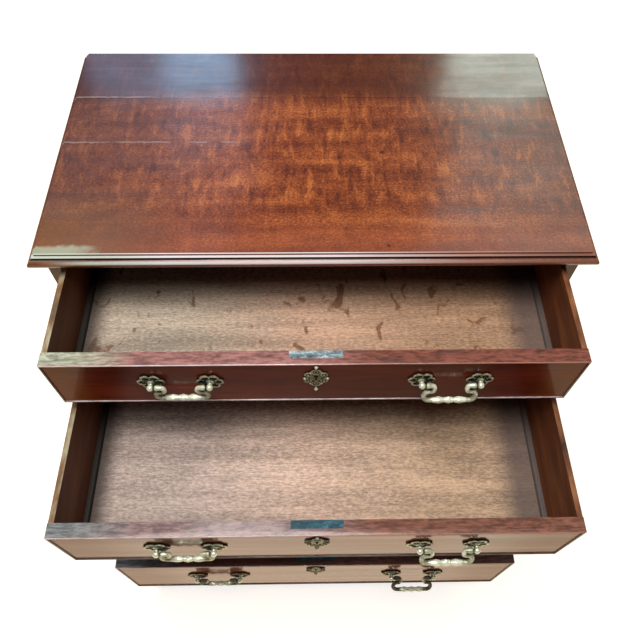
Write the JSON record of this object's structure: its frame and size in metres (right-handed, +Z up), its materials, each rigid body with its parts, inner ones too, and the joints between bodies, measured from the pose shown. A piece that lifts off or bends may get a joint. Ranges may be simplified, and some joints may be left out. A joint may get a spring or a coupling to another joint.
{
  "type": "bachelors chest",
  "caption": "Small mahogany chest of graduated long drawers on bracket feet; drawers slide, brass swan-neck bails swing on their posts and lock bolts rise.",
  "frame": {"origin": "on the floor, under the middle of the open chest as pictured, from the tip of the furthest drawer's handle to the back of the top", "axes": "+Z up, -Y out of the front, +X to the right as seen from the front"},
  "size_m": [0.822, 0.8267, 0.859],
  "materials": {
    "mahogany": "polished",
    "secondary_wood": "bare",
    "brass": "aged",
    "steel": "dull"
  },
  "bodies": {
    "chest": {"back_boards": "secondary_wood", "base_moulding": "mahogany", "bottom_board": "secondary_wood", "drawer_dividers": "mahogany", "drawer_kickers": "secondary_wood", "drawer_runners": "secondary_wood", "drawer_stops": "secondary_wood", "dust_boards": "secondary_wood", "foot_blocks": "steel", "front_feet": "mahogany", "left_side": "mahogany", "rear_feet": "mahogany", "right_side": "mahogany", "top_front_board": "mahogany", "top_rail": "mahogany", "top_rear_board": "mahogany"},
    "drawer_1": {"drawer_1_back": "secondary_wood", "drawer_1_bottom": "secondary_wood", "drawer_1_cockbeads": "mahogany", "drawer_1_escutcheon": "brass", "drawer_1_front": "mahogany", "drawer_1_handle_posts": "brass", "drawer_1_lock_case": "steel", "drawer_1_sides": "secondary_wood"},
    "drawer_2": {"drawer_2_back": "secondary_wood", "drawer_2_bottom": "secondary_wood", "drawer_2_cockbeads": "mahogany", "drawer_2_escutcheon": "brass", "drawer_2_front": "mahogany", "drawer_2_handle_posts": "brass", "drawer_2_lock_case": "steel", "drawer_2_sides": "secondary_wood"},
    "drawer_3": {"drawer_3_back": "secondary_wood", "drawer_3_bottom": "secondary_wood", "drawer_3_cockbeads": "mahogany", "drawer_3_escutcheon": "brass", "drawer_3_front": "mahogany", "drawer_3_handle_posts": "brass", "drawer_3_lock_case": "steel", "drawer_3_sides": "secondary_wood"},
    "drawer_4": {"drawer_4_back": "secondary_wood", "drawer_4_bottom": "secondary_wood", "drawer_4_cockbeads": "mahogany", "drawer_4_escutcheon": "brass", "drawer_4_front": "mahogany", "drawer_4_handle_posts": "brass", "drawer_4_lock_case": "steel", "drawer_4_sides": "secondary_wood"},
    "drawer_1_left_bail": {"drawer_1_left_bail": "brass"},
    "drawer_1_lock_bolt": {"drawer_1_lock_bolt": "steel"},
    "drawer_1_right_bail": {"drawer_1_right_bail": "brass"},
    "drawer_2_left_bail": {"drawer_2_left_bail": "brass"},
    "drawer_2_lock_bolt": {"drawer_2_lock_bolt": "steel"},
    "drawer_2_right_bail": {"drawer_2_right_bail": "brass"},
    "drawer_3_left_bail": {"drawer_3_left_bail": "brass"},
    "drawer_3_lock_bolt": {"drawer_3_lock_bolt": "steel"},
    "drawer_3_right_bail": {"drawer_3_right_bail": "brass"},
    "drawer_4_left_bail": {"drawer_4_left_bail": "brass"},
    "drawer_4_lock_bolt": {"drawer_4_lock_bolt": "steel"},
    "drawer_4_right_bail": {"drawer_4_right_bail": "brass"}
  },
  "joints": [
    {"name": "drawer_1_slide", "type": "slide", "parent": "chest", "child": "drawer_1", "axis": [0, -1, 0], "range_m": [-0.1633, 0.2217]},
    {"name": "drawer_1_left_bail_hinge", "type": "hinge", "parent": "drawer_1", "child": "drawer_1_left_bail", "pos_m": [-0.191, -0.2053, 0.771], "axis": [-1, 0, 0], "range_deg": [-8, 160]},
    {"name": "drawer_1_right_bail_hinge", "type": "hinge", "parent": "drawer_1", "child": "drawer_1_right_bail", "pos_m": [0.191, -0.2053, 0.771], "axis": [-1, 0, 0], "range_deg": [-23, 145]},
    {"name": "drawer_1_bolt_slide", "type": "slide", "parent": "drawer_1", "child": "drawer_1_lock_bolt", "axis": [0, 0, 1], "range_m": [0, 0.009]},
    {"name": "drawer_2_slide", "type": "slide", "parent": "chest", "child": "drawer_2", "axis": [0, -1, 0], "range_m": [-0.3552, 0.0298]},
    {"name": "drawer_2_left_bail_hinge", "type": "hinge", "parent": "drawer_2", "child": "drawer_2_left_bail", "pos_m": [-0.191, -0.3972, 0.61976], "axis": [-1, 0, 0], "range_deg": [-8, 160]},
    {"name": "drawer_2_right_bail_hinge", "type": "hinge", "parent": "drawer_2", "child": "drawer_2_right_bail", "pos_m": [0.191, -0.3972, 0.61976], "axis": [-1, 0, 0], "range_deg": [-28, 140]},
    {"name": "drawer_2_bolt_slide", "type": "slide", "parent": "drawer_2", "child": "drawer_2_lock_bolt", "axis": [0, 0, 1], "range_m": [0, 0.009]},
    {"name": "drawer_3_slide", "type": "slide", "parent": "chest", "child": "drawer_3", "axis": [0, -1, 0], "range_m": [0, 0.385]},
    {"name": "drawer_3_left_bail_hinge", "type": "hinge", "parent": "drawer_3", "child": "drawer_3_left_bail", "pos_m": [-0.191, -0.042, 0.44358], "axis": [-1, 0, 0], "range_deg": [-8, 160]},
    {"name": "drawer_3_right_bail_hinge", "type": "hinge", "parent": "drawer_3", "child": "drawer_3_right_bail", "pos_m": [0.191, -0.042, 0.44358], "axis": [-1, 0, 0], "range_deg": [-8, 160]},
    {"name": "drawer_3_bolt_slide", "type": "slide", "parent": "drawer_3", "child": "drawer_3_lock_bolt", "axis": [0, 0, 1], "range_m": [0, 0.009]},
    {"name": "drawer_4_slide", "type": "slide", "parent": "chest", "child": "drawer_4", "axis": [0, -1, 0], "range_m": [-0.32598, 0.05902]},
    {"name": "drawer_4_left_bail_hinge", "type": "hinge", "parent": "drawer_4", "child": "drawer_4_left_bail", "pos_m": [-0.191, -0.36798, 0.2405], "axis": [-1, 0, 0], "range_deg": [-8, 160]},
    {"name": "drawer_4_right_bail_hinge", "type": "hinge", "parent": "drawer_4", "child": "drawer_4_right_bail", "pos_m": [0.191, -0.36798, 0.2405], "axis": [-1, 0, 0], "range_deg": [-40, 128]},
    {"name": "drawer_4_bolt_slide", "type": "slide", "parent": "drawer_4", "child": "drawer_4_lock_bolt", "axis": [0, 0, 1], "range_m": [0, 0.009]}
  ]
}
